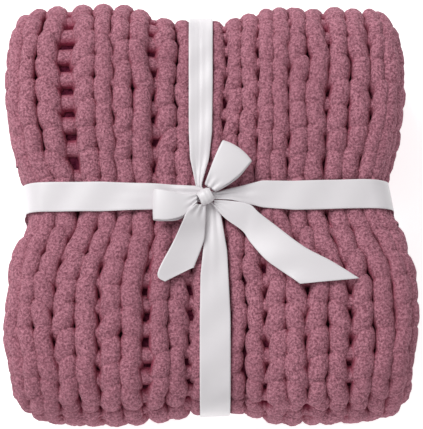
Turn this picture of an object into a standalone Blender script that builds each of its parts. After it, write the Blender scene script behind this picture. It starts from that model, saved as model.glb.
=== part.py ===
# A chunky knit blanket, folded to a square bundle and tied with a satin ribbon.
# Metres, +Z up. X runs across the knit columns and Y along them, with the big fold at -Y.
# The origin is at the middle of the underside, on the surface that the bundle rests on.
from collections import namedtuple
from math import cos, exp, pi, radians, sin, sqrt, tanh

import bmesh
import bpy
from mathutils import Matrix, Vector

for old in list(bpy.data.objects):
    bpy.data.objects.remove(old, do_unlink=True)

# ---- The bundle -------------------------------------------------------------------------
bundle_height = 0.168        # over the stitches
bundle_depth = 0.377         # big fold to small folds, before the ribbon draws it in
bundle_width = 0.374         # of the widest layer
layer_count = 4
layer_gap = 0.002
layer = (bundle_height - (layer_count - 1) * layer_gap) / layer_count
back_bend = (layer + layer_gap) / 2       # bend radius of the two small folds, mid-layer
front_bend = 0.027                        # bend radius of the big fold's two corners
hem_clearance = 0.004                     # inner hems to the inside of the big fold
rib_height = 0.0050                       # a column of stitches over the valley beside it
side_rib_share = 0.8                      # how much of that is left round the sides
stitch_height = 0.0019                    # the middle of a stitch over its ends
stitch_lean = 0.0016                      # sideways lean of a stitch in its column
face_columns = 18                         # columns of stitches over the flat of a layer
side_columns = 4                          # columns round each side of a layer
inner_spans = 7                           # plain spans over a layer's hidden face

# ---- How the ribbon draws the bundle in ---------------------------------------------------
pinch_sides = 0.0205
pinch_ends = 0.015
bite_top = 0.013             # dip of the top along the ribbon
bite_seat = 0.0135           # half of the strip that the ribbon presses flat
bite_spread = 0.036
corner_draw = 0.062          # share by which the plan's corners are drawn in
corner_droop = 0.012
edge_droop = 0.005
layer_bulge = 0.004          # how far the middle of the pile swells past top and bottom
ribbon_jog = 0.0061          # the long ribbon leaves the knot this far to either side
jog_length = 0.012
cross_line = 0.003           # the cross ribbon lies this far back of the middle
groove_depth = 0.0042        # underside, so that the ribbon clears the surface
groove_half = 0.0165
groove_slope = 0.008

# ---- The ribbon --------------------------------------------------------------------------
ribbon_width = 0.026
ribbon_thickness = 0.001
ribbon_clear = 0.0008
ribbon_step = 0.008
corner_steps = 9
crossing_lift = 0.0016       # cross ribbon over long ribbon
crossing_half = 0.021
crossing_slope = 0.012
cross_corner_top = 0.0215    # bend of the cross ribbon at the bundle's upper long edges
cross_corner_low = 0.0275    # and at its lower ones
cross_taper = 0.0088         # by which it leans in, up from the widest layer to the top one

# How the two ribbons lie on the top. One row for each place along a ribbon: its middle
# sideways, and its width as a share of the full one, less where it is gathered or creased.
RibbonRow = namedtuple("RibbonRow", "place middle share")
long_rows = [
    RibbonRow(-0.104, ribbon_jog, 1.00),
    RibbonRow(-0.068, 0.0056, 0.92),
    RibbonRow(-0.046, 0.0062, 0.80),
    RibbonRow(-0.008, 0.0046, 0.46),
    RibbonRow(0.000, -0.0020, 0.26),
    RibbonRow(0.012, -0.0080, 0.19),
    RibbonRow(0.037, -0.0072, 0.64),
    RibbonRow(0.062, -0.0064, 0.78),
    RibbonRow(0.110, -ribbon_jog, 0.80),
]
cross_rows = [
    RibbonRow(-0.100, 0.0026, 1.00),
    RibbonRow(-0.047, 0.0026, 0.88),
    RibbonRow(-0.010, 0.0040, 0.58),
    RibbonRow(0.006, 0.0028, 0.23),
    RibbonRow(0.020, 0.0044, 0.40),
    RibbonRow(0.049, 0.0048, 0.92),
    RibbonRow(0.079, 0.0036, 1.00),
    RibbonRow(0.153, 0.0056, 1.00),
]

# The lobes are uneven, so every piece is moved by this to bring the origin to the middle.
bundle_middle = Vector((-0.0019, 0.0023, 0))

# How unevenly the bundle's sides stand out, seen from above: by how much at each place.
SideRow = namedtuple("SideRow", "place left right")
side_rows = [
    SideRow(-0.188, -0.006, -0.005),
    SideRow(-0.150, -0.005, -0.004),
    SideRow(-0.115, 0.000, 0.001),
    SideRow(-0.078, -0.006, 0.001),
    SideRow(-0.045, -0.001, 0.003),
    SideRow(-0.030, -0.001, 0.007),
    SideRow(-0.021, -0.004, 0.009),
    SideRow(-0.012, -0.003, 0.001),
    SideRow(0.020, -0.001, -0.004),
    SideRow(0.036, 0.005, -0.004),
    SideRow(0.055, -0.003, -0.007),
    SideRow(0.090, -0.001, -0.004),
    SideRow(0.125, 0.000, 0.003),
    SideRow(0.188, 0.000, 0.003),
]
EndRow = namedtuple("EndRow", "place front back")
end_rows = [
    EndRow(-0.185, -0.001, -0.004),
    EndRow(-0.150, 0.002, -0.001),
    EndRow(-0.060, 0.001, -0.002),
    EndRow(-0.022, 0.007, -0.001),
    EndRow(0.022, 0.005, -0.002),
    EndRow(0.050, 0.005, -0.003),
    EndRow(0.100, 0.002, -0.003),
    EndRow(0.140, 0.003, 0.001),
    EndRow(0.170, 0.003, 0.003),
    EndRow(0.187, 0.001, 0.002),
]

# One row for each lobe between the ribbons: where it is, how far it swells out and up.
Lobe = namedtuple("Lobe", "name side end out_x out_y rise")
lobes = [
    Lobe("back left", -1, 1, 0.009, 0.002, 0.000),
    Lobe("back right", 1, 1, -0.004, -0.002, -0.002),
    Lobe("front left", -1, -1, -0.002, 0.003, 0.002),
    Lobe("front right", 1, -1, 0.005, -0.001, 0.001),
]

# One row for each stretch of the back-and-forth section, from the upper inner hem to the
# lower one. A stretch is straight where turn is 0, else it bends at that radius. Stitched
# stretches have two steps to a row of stitches.
Run = namedtuple("Run", "name length radius turn steps width shift ribs stitched")
half_width = bundle_width / 2
half_depth = bundle_depth / 2
level_step = layer + layer_gap
back_end = half_depth - back_bend - layer / 2          # where the small folds begin
front_end = half_depth - front_bend - layer / 2        # where the big fold begins
hem_end = half_depth - layer - hem_clearance - layer_gap
tied_length = 0.060                                    # the stretch under the cross ribbon
tied_front = tied_length / 2 - cross_line              # its front end, and its back end
tied_back = tied_length / 2 + cross_line
drop = (layer_count - 1) * level_step - 2 * front_bend
runs = [
    Run("upper inner layer, front", hem_end - tied_front, 0, 0, 3, 0.364, -0.002, 0, 0),
    Run("upper inner layer, tied", tied_length, 0, 0, 4, 0.364, -0.001, 0, 0),
    Run("upper inner layer, back", back_end - tied_back, 0, 0, 3, 0.363, 0.000, 0, 0),
    Run("upper small fold", 0, back_bend, 180, 10, 0.360, 0.001, 1, 1),
    Run("top layer", back_end + front_end, 0, 0, 26, 0.356, 0.001, 1, 1),
    Run("upper corner of big fold", 0, front_bend, 90, 6, 0.360, 0.000, 1, 1),
    Run("front of big fold", drop, 0, 0, 6, 0.366, 0.000, 1, 1),
    Run("lower corner of big fold", 0, front_bend, 90, 3, 0.366, 0.000, 0.6, 0),
    Run("bottom layer, front", front_end - tied_front, 0, 0, 2, 0.364, 0.000, 0, 0),
    Run("bottom layer, tied", tied_length, 0, 0, 4, 0.364, 0.000, 0, 0),
    Run("bottom layer, back", back_end - tied_back, 0, 0, 2, 0.366, -0.001, 0, 0),
    Run("lower small fold", 0, back_bend, 180, 6, 0.370, 0.001, 0.8, 0),
    Run("lower inner layer, back", back_end - tied_back, 0, 0, 2, 0.372, 0.001, 0, 0),
    Run("lower inner layer, tied", tied_length, 0, 0, 4, 0.374, 0.002, 0, 0),
    Run("lower inner layer, front", hem_end - tied_front, 0, 0, 2, 0.374, 0.002, 0, 0),
]
# How the two hems round off: how far past the end, in layers, and the size there.
Hem = namedtuple("Hem", "past size")
hem_rounding = [Hem(0.22, 0.70)]

Station = namedtuple("Station", "y z heading width shift ribs raised scale")


def bell(distance, spread, seat=0.0):
    """1 over the seat, then falling off on either side."""
    return exp(-(max(0, abs(distance) - seat) / spread) ** 2)


def either(first, second):
    """Two shares laid over each other without adding up past 1."""
    return 1 - (1 - first) * (1 - second)


def trough(distance, half, slope):
    """1 up to a half-width, then down to 0 in a straight slope."""
    return min(1, max(0, (half + slope - abs(distance)) / slope))


def long_ribbon_x(y):
    return -ribbon_jog * tanh(y / jog_length)


def blend(start, end, share):
    return start + (end - start) * share


def row_at(rows, place):
    """The row of a table at a place, in straight lines between its rows."""
    for near, far in zip(rows, rows[1:]):
        if place < far.place:
            break
    share = min(1, max(0, (place - near.place) / (far.place - near.place)))
    return type(near)(*(blend(a, b, share) for a, b in zip(near, far)))


def ribbon_edges(rows, place, z):
    """The ribbon's two edges sideways: off its table on the top, straight across below."""
    row = row_at(rows if z > bundle_height / 2 else [rows[0], rows[-1]], place)
    half = ribbon_width / 2 * row.share
    return row.middle - half, row.middle + half


def tied(x, y, z):
    """Moves a point of the square pile to its place in the tied bundle."""
    across = x / half_width
    along = y / half_depth
    up = z / bundle_height
    bite_long = bell(x - long_ribbon_x(y), bite_spread, bite_seat)
    bite_cross = bell(y - cross_line, bite_spread, bite_seat)
    swell = layer_bulge * (1 - (2 * up - 1) ** 2)
    side, end = row_at(side_rows, y), row_at(end_rows, x)
    out_x = swell + (side.right if x > 0 else side.left) - pinch_sides * bite_cross
    out_y = swell + (end.back if y > 0 else end.front) - pinch_ends * bite_long
    out_x -= corner_draw * half_width * along ** 4
    out_y -= corner_draw * half_depth * across ** 4
    new_x = x + out_x * across * abs(across)
    new_y = y + out_y * along * abs(along)
    sink = bite_top * either(bite_long, bite_cross) + edge_droop * max(across ** 4, along ** 4)
    sink += corner_droop * across ** 2 * along ** 2
    for lobe in lobes:
        share = max(0, lobe.side * across) * max(0, lobe.end * along)
        new_x += lobe.side * lobe.out_x * share
        new_y += lobe.end * lobe.out_y * share
        sink -= lobe.rise * share
    under = groove_depth * max(0, 1 - up) ** 8 * either(
        trough(x - sum(ribbon_edges(long_rows, y, 0)) / 2, groove_half, groove_slope),
        trough(y - sum(ribbon_edges(cross_rows, x, 0)) / 2, groove_half, groove_slope))
    return Vector((new_x, new_y, z - sink * max(0, up) ** 3 + under))


def fold_stations():
    """Walks the section and leaves a station at each step."""
    y = -hem_end
    z = layer / 2 + 2 * level_step
    heading = 0.0
    stations = []
    for index, run in enumerate(runs):
        following = runs[min(index + 1, len(runs) - 1)]
        turn = radians(run.turn) / run.steps
        stride = run.length / run.steps
        if run.turn:
            stride = 2 * run.radius * sin(turn / 2)
        for step in range(run.steps):
            share = step / run.steps
            raised = step % 2 if run.stitched else 1
            stations.append(Station(
                y, z, heading, blend(run.width, following.width, share),
                blend(run.shift, following.shift, share), run.ribs, raised, 1))
            heading += turn / 2
            y += stride * cos(heading)
            z += stride * sin(heading)
            heading += turn / 2
    last = runs[-1]
    stations.append(Station(y, z, heading, last.width, last.shift, last.ribs, 1, 1))
    return stations


def hem_stations(end, direction):
    """The stations that round a hem off, from the full layer outwards."""
    rounded = []
    for hem in hem_rounding:
        past = hem.past * layer * direction
        rounded.append(end._replace(y=end.y + past * cos(end.heading), scale=hem.size))
    return rounded


def layer_outline(station):
    """The layer's cross-section at a station: (across, outwards from mid-layer)."""
    thick = layer * station.scale
    flat = station.width - layer
    pitch = flat / face_columns
    valley = rib_height * station.ribs
    crest = stitch_height * station.ribs * (1 - station.raised)
    lean = stitch_lean * station.ribs * (2 * station.raised - 1)
    outline = []
    for point in range(2 * face_columns + 1):
        x = -flat / 2 + point * pitch / 2
        if point % 2:
            side = 1 if point % 4 == 1 else -1
            outline.append((x + side * lean, thick / 2 - crest))
        else:
            outline.append((x, thick / 2 - valley))
    bend = []
    for point in range(1, 2 * side_columns):
        angle = pi / 2 - pi * point / (2 * side_columns)
        radius = thick / 2 - (0 if point % 2 else rib_height * side_rib_share)
        bend.append((radius * cos(angle), radius * sin(angle)))
    outline += [(flat / 2 + out, height) for out, height in bend]
    for point in range(inner_spans + 1):
        outline.append((flat / 2 - flat * point / inner_spans, -thick / 2))
    outline += [(-flat / 2 - out, height) for out, height in reversed(bend)]
    return outline


def layer_ring(station):
    """The cross-section set square to the section's path, then tied."""
    ring = []
    for across, outwards in layer_outline(station):
        y = station.y + outwards * sin(station.heading)
        z = station.z - outwards * cos(station.heading)
        ring.append(tied(across + station.shift, y, max(0, z)))
    return ring


def skinned(name, rings, closed, shade):
    """One closed body through rings that have the same number of points."""
    shape = bmesh.new()
    loops = [[shape.verts.new(point) for point in ring] for ring in rings]
    count = len(loops[0])
    joints = list(zip(loops, loops[1:]))
    if closed:
        joints.append((loops[-1], loops[0]))
    else:
        shape.faces.new(loops[0])
        shape.faces.new(reversed(loops[-1]))
    for near, far in joints:
        for corner in range(count):
            after = (corner + 1) % count
            shape.faces.new((near[corner], far[corner], far[after], near[after]))
    bmesh.ops.recalc_face_normals(shape, faces=shape.faces)
    mesh = bpy.data.meshes.new(name)
    shape.to_mesh(mesh)
    shape.free()
    piece = bpy.data.objects.new(name, mesh)
    bpy.context.collection.objects.link(piece)
    mesh.materials.append(shade)
    mesh.shade_smooth()
    piece.location = bundle_middle
    return piece


def material(name, colour, roughness):
    shade = bpy.data.materials.new(name)
    shade.use_nodes = True
    shader = shade.node_tree.nodes["Principled BSDF"]
    shader.inputs["Base Color"].default_value = (*colour, 1)
    shader.inputs["Roughness"].default_value = roughness
    shader.inputs["Metallic"].default_value = 0
    return shade


def make_blanket(shade):
    stations = fold_stations()
    first = hem_stations(stations[0], -1)
    last = hem_stations(stations[-1], 1)
    stations = first[::-1] + stations + last
    return skinned("blanket", [layer_ring(station) for station in stations], False, shade)


# ---- The two stretches of ribbon round the bundle -----------------------------------------
def round_the_pile(reach, low, high, corners, steps):
    """A rounded rectangle: (out, height, outward out, outward height) at each point."""
    points = []
    middle = (low + high) / 2
    rise = (high - low) / 2
    for quarter, corner in enumerate(corners):
        start = pi / 2 * quarter
        corner_out = (reach - corner) * (1 if quarter in (0, 3) else -1)
        corner_up = (rise - corner) * (1 if quarter in (0, 1) else -1)
        for step in range(steps + 1):
            angle = start + pi / 2 * step / steps
            points.append((corner_out + corner * cos(angle),
                           middle + corner_up + corner * sin(angle), cos(angle), sin(angle)))
    return points


def with_spans(points, spacing):
    """The same line with its straight stretches cut into equal steps."""
    finished = []
    for here, there in zip(points, points[1:] + points[:1]):
        length = sqrt((there[0] - here[0]) ** 2 + (there[1] - here[1]) ** 2)
        parts = max(1, round(length / spacing))
        for part in range(parts):
            share = part / parts
            finished.append(tuple(blend(a, b, share) for a, b in zip(here, there)))
    return finished


def over_stitches(x, y, z, outward=Vector((0, 0, 1)), lift=0.0):
    """A ribbon point: the bundle's own move at its height, with what stands off it kept."""
    inside = min(bundle_height, max(0, z))
    return tied(x, y, inside) + Vector((0, 0, z - inside)) + outward * lift


def make_ribbon_long(shade):
    """Round the bundle front to back, straight against the stitches."""
    back = back_bend + layer / 2 - ribbon_clear
    front = front_bend + layer / 2
    line = with_spans(round_the_pile(half_depth + ribbon_clear, -ribbon_clear,
                                     bundle_height + ribbon_clear,
                                     (back, front, front, back), corner_steps), ribbon_step)
    rings = []
    for y, z, out_y, out_z in line:
        outward = Vector((0, out_y, out_z))
        left, right = ribbon_edges(long_rows, y, z)
        rings.append([over_stitches(x, y, z, outward, lift) for x, lift in (
            (left, 0), (right, 0), (right, ribbon_thickness), (left, ribbon_thickness))])
    return skinned("ribbon_long", rings, True, shade)


def make_ribbon_cross(shade):
    """Round the bundle left to right, over the long ribbon where they cross."""
    reach = max(run.width / 2 + abs(run.shift) for run in runs) + ribbon_clear
    line = with_spans(round_the_pile(reach, -ribbon_clear, bundle_height + ribbon_clear,
                                     (cross_corner_top, cross_corner_top, cross_corner_low,
                                      cross_corner_low), corner_steps), ribbon_step)
    widest = layer / 2 + level_step
    rings = []
    for x, z, out_x, out_z in line:
        above = min(1, max(0, (z - widest) / (2 * level_step)))
        x *= 1 - above * cross_taper / reach
        outward = Vector((out_x, 0, out_z))
        low = crossing_lift * trough(x, crossing_half, crossing_slope) * abs(out_z)
        front, back = ribbon_edges(cross_rows, x, z)
        rings.append([over_stitches(x, y, z, outward, lift) for y, lift in (
            (front, low), (back, low),
            (back, low + ribbon_thickness), (front, low + ribbon_thickness))])
    return skinned("ribbon_cross", rings, True, shade)


# ---- The bow ------------------------------------------------------------------------------
def eased(rows, parts):
    """A smooth line through the rows of a table, with equal parts between them."""
    line = []
    for index in range(len(rows) - 1):
        before = rows[max(0, index - 1)]
        start = rows[index]
        end = rows[index + 1]
        after = rows[min(len(rows) - 1, index + 2)]
        for part in range(parts):
            t = part / parts
            line.append(type(start)(*(
                b + t * (c - a) / 2 + t * t * (2 * a - 5 * b + 4 * c - d) / 2
                + t ** 3 * (3 * b - a - 3 * c + d) / 2
                for a, b, c, d in zip(before, start, end, after))))
    line.append(rows[-1])
    return line


def strip_ring(left, right, run):
    """A ribbon's section between its two edges, as thick as the ribbon, square to its run."""
    across = right - left
    up = across.cross(run).normalized() * ribbon_thickness
    return [left, right, right + up, left + up]


def strip(name, edges, shade):
    """A ribbon between two edge lines; edges is a list of (left, right)."""
    rings = []
    for index, (left, right) in enumerate(edges):
        before = edges[max(0, index - 1)]
        after = edges[min(len(edges) - 1, index + 1)]
        run = (after[0] + after[1] - before[0] - before[1]).normalized()
        rings.append(strip_ring(left, right, run))
    return skinned(name, rings, False, shade)


# A loop lies out from the knot and comes back over itself. One row for each section:
# reach from the knot, drift to the side, height over the stitches, width.
LoopRow = namedtuple("LoopRow", "reach drift height width")
loop_left = [
    LoopRow(0.0000, 0.0000, 0.0052, 0.0080),
    LoopRow(0.0060, -0.0050, 0.0049, 0.0140),
    LoopRow(0.0165, -0.0078, 0.0048, 0.0225),
    LoopRow(0.0315, -0.0068, 0.0050, 0.0265),
    LoopRow(0.0376, -0.0062, 0.0078, 0.0270),
    LoopRow(0.0345, -0.0062, 0.0108, 0.0270),
    LoopRow(0.0245, -0.0073, 0.0118, 0.0255),
    LoopRow(0.0110, -0.0065, 0.0106, 0.0185),
    LoopRow(0.0000, 0.0000, 0.0092, 0.0080),
]
loop_right = [
    LoopRow(0.0000, 0.0000, 0.0052, 0.0110),
    LoopRow(0.0100, 0.0008, 0.0046, 0.0190),
    LoopRow(0.0225, 0.0009, 0.0046, 0.0265),
    LoopRow(0.0340, -0.0002, 0.0052, 0.0305),
    LoopRow(0.0400, 0.0000, 0.0082, 0.0308),
    LoopRow(0.0375, 0.0000, 0.0114, 0.0308),
    LoopRow(0.0245, 0.0009, 0.0124, 0.0270),
    LoopRow(0.0115, 0.0008, 0.0114, 0.0195),
    LoopRow(0.0000, 0.0000, 0.0092, 0.0110),
]
# A tail lies on the bundle, the left one over its loop too. One row for each section: its
# two edges, as seen from the knot along the tail, and the height of each over the stitches.
TailRow = namedtuple("TailRow", "left_x left_y left_height right_x right_y right_height")
tail_left = [
    TailRow(-0.0015, -0.0063, 0.0060, -0.0100, -0.0062, 0.0120),
    TailRow(-0.0017, -0.0190, 0.0050, -0.0180, -0.0133, 0.0126),
    TailRow(-0.0022, -0.0260, 0.0042, -0.0215, -0.0205, 0.0126),
    TailRow(-0.0035, -0.0379, 0.0032, -0.0302, -0.0385, 0.0050),
    TailRow(-0.0112, -0.0585, 0.0022, -0.0433, -0.0658, 0.0018),
    TailRow(-0.0118, -0.0603, 0.0022, -0.0370, -0.0734, 0.0018),
]
tail_right = [
    TailRow(0.0053, -0.0015, 0.0045, 0.0052, -0.0063, 0.0045),
    TailRow(0.0200, -0.0020, 0.0037, 0.0150, -0.0175, 0.0037),
    TailRow(0.0365, -0.0050, 0.0036, 0.0300, -0.0285, 0.0030),
    TailRow(0.0455, -0.0125, 0.0040, 0.0365, -0.0385, 0.0030),
    TailRow(0.0600, -0.0240, 0.0026, 0.0490, -0.0540, 0.0026),
    TailRow(0.0830, -0.0430, 0.0020, 0.0620, -0.0640, 0.0020),
    TailRow(0.1060, -0.0562, 0.0018, 0.0710, -0.0705, 0.0018),
    TailRow(0.1277, -0.0710, 0.0014, 0.0774, -0.0755, 0.0014),
]
knot_middle = Vector((-0.0020, 0.0010))
knot_size = Vector((0.013, 0.0135, 0.0095))
knot_base = 0.0039           # over the stitches, on the crossing of the two ribbons
knot_round = 0.0036


def make_knot(shade):
    place = over_stitches(*knot_middle, bundle_height) + bundle_middle
    bpy.ops.mesh.primitive_cube_add(size=1)
    knot = bpy.context.object
    knot.name = "ribbon_knot"
    knot.data.name = knot.name
    knot.data.transform(Matrix.Diagonal((*knot_size, 1)))
    knot.location = place + Vector((0, 0, knot_base + knot_size.z / 2))
    edges = knot.modifiers.new("rounded", "BEVEL")
    edges.width = knot_round
    edges.segments = 3
    knot.data.materials.append(shade)
    knot.data.shade_smooth()
    return knot


def make_loop(name, start_x, start_y, angle, rows, shade):
    """A loop of the bow, out from its start at an angle in plan."""
    outward = Vector((cos(angle), sin(angle), 0))
    sideways = Vector((sin(angle), -cos(angle), 0))
    edges = []
    for row in eased(rows, 3):
        middle = Vector((start_x, start_y, 0)) + outward * row.reach + sideways * row.drift
        half = sideways * row.width / 2
        level = over_stitches(middle.x, middle.y, bundle_height).z + row.height
        edges.append(tuple(Vector((point.x, point.y, level))
                           for point in (middle + half, middle - half)))
    return strip(name, edges, shade)


def make_tail(name, rows, shade):
    """A tail of the bow, lying on the stitches between its two edges."""
    edges = []
    for row in eased(rows, 4):
        edges.append((
            over_stitches(row.left_x, row.left_y, bundle_height + row.left_height),
            over_stitches(row.right_x, row.right_y, bundle_height + row.right_height)))
    return strip(name, edges, shade)


yarn = material("dusty rose chenille", (0.31, 0.12, 0.155), 0.95)
satin = material("white satin", (0.80, 0.77, 0.79), 0.35)
make_blanket(yarn)
make_ribbon_long(satin)
make_ribbon_cross(satin)
make_knot(satin)
make_loop("bow_loop_left", -0.0092, 0.0000, radians(180), loop_left, satin)
make_loop("bow_loop_right", 0.0019, 0.0088, radians(53.5), loop_right, satin)
make_tail("bow_tail_left", tail_left, satin)
make_tail("bow_tail_right", tail_right, satin)
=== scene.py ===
import math

import bpy
import numpy as np
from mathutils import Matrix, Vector


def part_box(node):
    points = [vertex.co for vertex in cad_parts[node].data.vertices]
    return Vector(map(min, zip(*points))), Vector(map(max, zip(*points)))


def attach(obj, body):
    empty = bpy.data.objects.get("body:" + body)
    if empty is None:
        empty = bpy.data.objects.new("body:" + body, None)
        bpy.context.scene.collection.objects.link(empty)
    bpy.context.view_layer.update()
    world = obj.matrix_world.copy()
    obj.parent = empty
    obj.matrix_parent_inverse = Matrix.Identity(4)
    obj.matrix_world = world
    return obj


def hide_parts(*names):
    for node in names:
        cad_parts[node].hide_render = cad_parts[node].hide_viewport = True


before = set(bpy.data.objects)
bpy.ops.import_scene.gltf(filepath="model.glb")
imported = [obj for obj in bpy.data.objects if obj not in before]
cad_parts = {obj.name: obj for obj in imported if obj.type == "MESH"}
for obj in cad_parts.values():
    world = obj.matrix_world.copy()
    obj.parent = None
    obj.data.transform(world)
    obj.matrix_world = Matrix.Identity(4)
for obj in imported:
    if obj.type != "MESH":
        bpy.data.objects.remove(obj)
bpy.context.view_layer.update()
scene = bpy.context.scene
print("frame loaded")

# the fold, as the solid has it: four thick layers, one big fold at -Y, two small ones at +Y
fold = {
    "height": 0.168,
    "depth": 0.377,
    "width": 0.374,
    "gap": 0.002,            # between two layers
    "frontBend": 0.027,      # radius of the big fold's bends, at mid-layer
    "hemGap": 0.004,         # between an inner hem and the big fold
    "parts": 60,             # steps to each stretch of the fold
    "middle": Vector((-0.0019, 0.0023, 0)),
}
fold["layer"] = (fold["height"] - 3 * fold["gap"]) / 4
fold["backBend"] = (fold["layer"] + fold["gap"]) / 2
fold["step"] = fold["layer"] + fold["gap"]
fold["backEnd"] = fold["depth"] / 2 - fold["backBend"] - fold["layer"] / 2

# how the ribbon draws the bundle in
tie = {
    "pinchSides": 0.0205,    # how far in each side is drawn
    "pinchEnds": 0.015,      # and each end
    "biteTop": 0.013,        # how deep the ribbons sink into the top
    "seat": 0.0135,          # half the width of a dip's bed
    "spread": 0.036,         # how far a dip runs out beside its bed
    "cornerDraw": 0.062,     # corners rounded off, as a share of the half width
    "cornerDroop": 0.012,
    "edgeDroop": 0.005,
    "bulge": 0.004,          # how far the sides swell at mid height
    "jog": 0.0061,           # the long ribbon lies this far to the right in front, left behind
    "jogOver": 0.012,        # and crosses over within this length
    "crossLine": 0.003,      # where along y the cross ribbon draws in
    "groove": 0.0042,        # the ribbons' bed under the bundle: depth, half width, slope
    "grooveHalf": 0.0165,
    "grooveSlope": 0.008,
}
# how the two ribbons lie on the top: place along, middle sideways, share of the full width
longRows = [
    (-0.104, tie["jog"], 1.00), (-0.068, 0.0056, 0.92), (-0.046, 0.0062, 0.80),
    (-0.008, 0.0046, 0.46), (0.000, -0.0020, 0.26), (0.012, -0.0080, 0.19),
    (0.037, -0.0072, 0.64), (0.062, -0.0064, 0.78), (0.110, -tie["jog"], 0.80),
]
crossRows = [
    (-0.100, 0.0026, 1.00), (-0.047, 0.0026, 0.88), (-0.010, 0.0040, 0.58),
    (0.006, 0.0028, 0.23), (0.020, 0.0044, 0.40), (0.049, 0.0048, 0.92),
    (0.079, 0.0036, 1.00), (0.153, 0.0056, 1.00),
]
# how unevenly the sides stand out, seen from above: place along y, left, right
sideRows = [
    (-0.188, -0.006, -0.005), (-0.150, -0.005, -0.004), (-0.115, 0.000, 0.001),
    (-0.078, -0.006, 0.001), (-0.045, -0.001, 0.003), (-0.030, -0.001, 0.007),
    (-0.021, -0.004, 0.009), (-0.012, -0.003, 0.001), (0.020, -0.001, -0.004),
    (0.036, 0.005, -0.004), (0.055, -0.003, -0.007), (0.090, -0.001, -0.004),
    (0.125, 0.000, 0.003), (0.188, 0.000, 0.003),
]
# the same for the ends: place along x, front, back
endRows = [
    (-0.185, -0.001, -0.004), (-0.150, 0.002, -0.001), (-0.060, 0.001, -0.002),
    (-0.022, 0.007, -0.001), (0.022, 0.005, -0.002), (0.050, 0.005, -0.003),
    (0.100, 0.002, -0.003), (0.140, 0.003, 0.001), (0.170, 0.003, 0.003),
    (0.187, 0.001, 0.002),
]
# each lobe between the ribbons: side, end, out along x, out along y, rise
lobes = {
    "backLeft": (-1, 1, 0.009, 0.002, 0.000),
    "backRight": (1, 1, -0.004, -0.002, -0.002),
    "frontLeft": (-1, -1, -0.002, 0.003, 0.002),
    "frontRight": (1, -1, 0.005, -0.001, 0.001),
}


def bell(distance, spread, seat=0.0):
    # 1 on the seat, falling off softly beside it
    return np.exp(-(np.maximum(0, np.abs(distance) - seat) / spread) ** 2)


def either(first, second):
    # two shares together, never past 1
    return 1 - (1 - first) * (1 - second)


def trough(distance, half, slope):
    # 1 over the half width, then down in a straight slope
    return np.clip((half + slope - np.abs(distance)) / slope, 0, 1)


def longRibbonX(y):
    return -tie["jog"] * np.tanh(y / tie["jogOver"])


def uneven(rows, place, across):
    # how far the low or the high side stands out at a place along it
    spots, low, high = np.array(rows).T
    return np.where(across > 0, np.interp(place, spots, high), np.interp(place, spots, low))


def ribbonAt(rows, place, z):
    # the ribbon's middle and share of its width: from its rows on the top, straight below
    spots, middles, shares = np.array(rows).T
    ends = [0, -1]
    below = [np.interp(place, spots[ends], line[ends]) for line in (middles, shares)]
    above = [np.interp(place, spots, line) for line in (middles, shares)]
    onTop = z > fold["height"] / 2
    return [np.where(onTop, high, low) for high, low in zip(above, below)]


def tied(x, y, z):
    # where a point of the square pile lies once the ribbon is tied
    across = x / (fold["width"] / 2)
    along = y / (fold["depth"] / 2)
    up = z / fold["height"]
    biteLong = bell(x - longRibbonX(y), tie["spread"], tie["seat"])
    biteCross = bell(y - tie["crossLine"], tie["spread"], tie["seat"])
    swell = tie["bulge"] * (1 - (2 * up - 1) ** 2)
    outX = swell + uneven(sideRows, y, x) - tie["pinchSides"] * biteCross
    outY = swell + uneven(endRows, x, y) - tie["pinchEnds"] * biteLong
    outX = outX - tie["cornerDraw"] * fold["width"] / 2 * along ** 4
    outY = outY - tie["cornerDraw"] * fold["depth"] / 2 * across ** 4
    newX = x + outX * across * np.abs(across)
    newY = y + outY * along * np.abs(along)
    sink = tie["biteTop"] * either(biteLong, biteCross)
    sink = sink + tie["edgeDroop"] * np.maximum(across ** 4, along ** 4)
    sink = sink + tie["cornerDroop"] * across ** 2 * along ** 2
    for side, end, lobeX, lobeY, rise in lobes.values():
        share = np.maximum(0, side * across) * np.maximum(0, end * along)
        newX = newX + side * lobeX * share
        newY = newY + end * lobeY * share
        sink = sink - rise * share
    under = tie["groove"] * np.maximum(0, 1 - up) ** 8 * either(
        trough(x - ribbonAt(longRows, y, 0)[0], tie["grooveHalf"], tie["grooveSlope"]),
        trough(y - ribbonAt(crossRows, x, 0)[0], tie["grooveHalf"], tie["grooveSlope"]))
    newZ = z - sink * np.maximum(0, up) ** 3 + under
    place = np.stack([newX, newY, newZ], -1)
    return place + np.array(fold["middle"])


knit = {
    "face": 0.163,           # half the face of a layer, as lengths round it are counted
    "row": 0.0221,           # one stitch to the next along the column
    "yarn": 0.0083,          # radius in a column of the usual width
    "usual": 0.0175,         # that width
    "widest": 0.0215,        # wider columns leave a gap
    "wales": 13,             # stitches in a row
    "sides": 12,             # faces round a strand
    "parts": 2,              # steps between the points that shape a stitch
    "spread": 1.033,         # lengths over the curved layer to lengths across the top
    "arcColumn": 0.0155,     # width of the columns that lie round the left side
    "arcRight": 1.25,        # those round the right side are this much wider
    "arcLeftCount": 5,
    "arcRightCount": 3,
    "turnFrom": -0.010,      # the columns widen from here, in front of the cross ribbon,
    "turnTo": -0.080,        # to here
    "firm": 0.2,             # share of the yarn's radius that is the same in every column
    "leastCover": 0.02,      # the yarn stays this much, in radii, under the crest
    "lastRow": 0.004,        # the last row ends this far before the hem
    "creaseAt": 0.050,       # the crease along the big fold, this far round from the top
    "creaseDeep": 0.0045,
    "creaseWide": 0.005,
    "creaseHalf": 0.130,     # it runs this far to each side, then fades
    "creaseFade": 0.030,
    "shadeTo": 0.168,        # half the width in which the gaps get painted shade, deep red
    "shadeFade": 0.014,
    "shadeSides": 0.25,      # what is left of that painted shade round the sides
    "diveFrom": 1.1,         # yarn deeper than this many radii gets more painted shade, as it lies in the shade of others
    "diveShade": 0.5,
    "seed": 7,
}
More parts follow.
